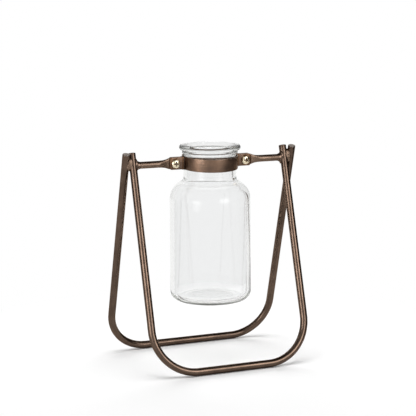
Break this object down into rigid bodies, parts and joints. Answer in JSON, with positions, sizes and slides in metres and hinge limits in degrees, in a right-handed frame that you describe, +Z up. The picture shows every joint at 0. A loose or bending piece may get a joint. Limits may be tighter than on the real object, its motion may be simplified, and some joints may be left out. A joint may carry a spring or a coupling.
{
  "type": "table vase",
  "caption": "Glass bottle vase hung by its neck in a bolted strap collar, between crossed and welded rod hoops that stand on a table; the bottle turns freely in the collar.",
  "frame": {"origin": "on the table under the bottle's axis, midway between the two bottom bars", "axes": "+Z up along the bottle, X along the arms, -Y towards the front hoop's bar"},
  "size_m": [0.1728, 0.118, 0.2025],
  "materials": {
    "rod_bronze": "antique bronze on steel rod, satin, rubbed lighter along the rods",
    "strap_bronze": "antique bronze on flat strap, satin, with a coppery glow",
    "pale_brass": "bright pale brass plating",
    "clear_glass": "clear thick glass with a faint grey-green tint"
  },
  "bodies": {
    "stand": {"front_hoop": "rod_bronze", "rear_hoop": "rod_bronze", "left_crossing_weld": "rod_bronze", "right_crossing_weld": "rod_bronze", "left_arm": "rod_bronze", "right_arm": "rod_bronze", "left_arm_weld": "rod_bronze", "right_arm_weld": "rod_bronze", "front_collar": "strap_bronze", "rear_collar": "strap_bronze", "left_screw": "pale_brass", "right_screw": "pale_brass", "left_nut": "pale_brass", "right_nut": "pale_brass"},
    "bottle": {"glass_bottle": "clear_glass"}
  },
  "joints": [
    {"name": "bottle_turn", "type": "hinge", "parent": "stand", "child": "bottle", "pos_m": [0, 0, 0.1865], "axis": [0, 0, 1], "continuous": true}
  ]
}
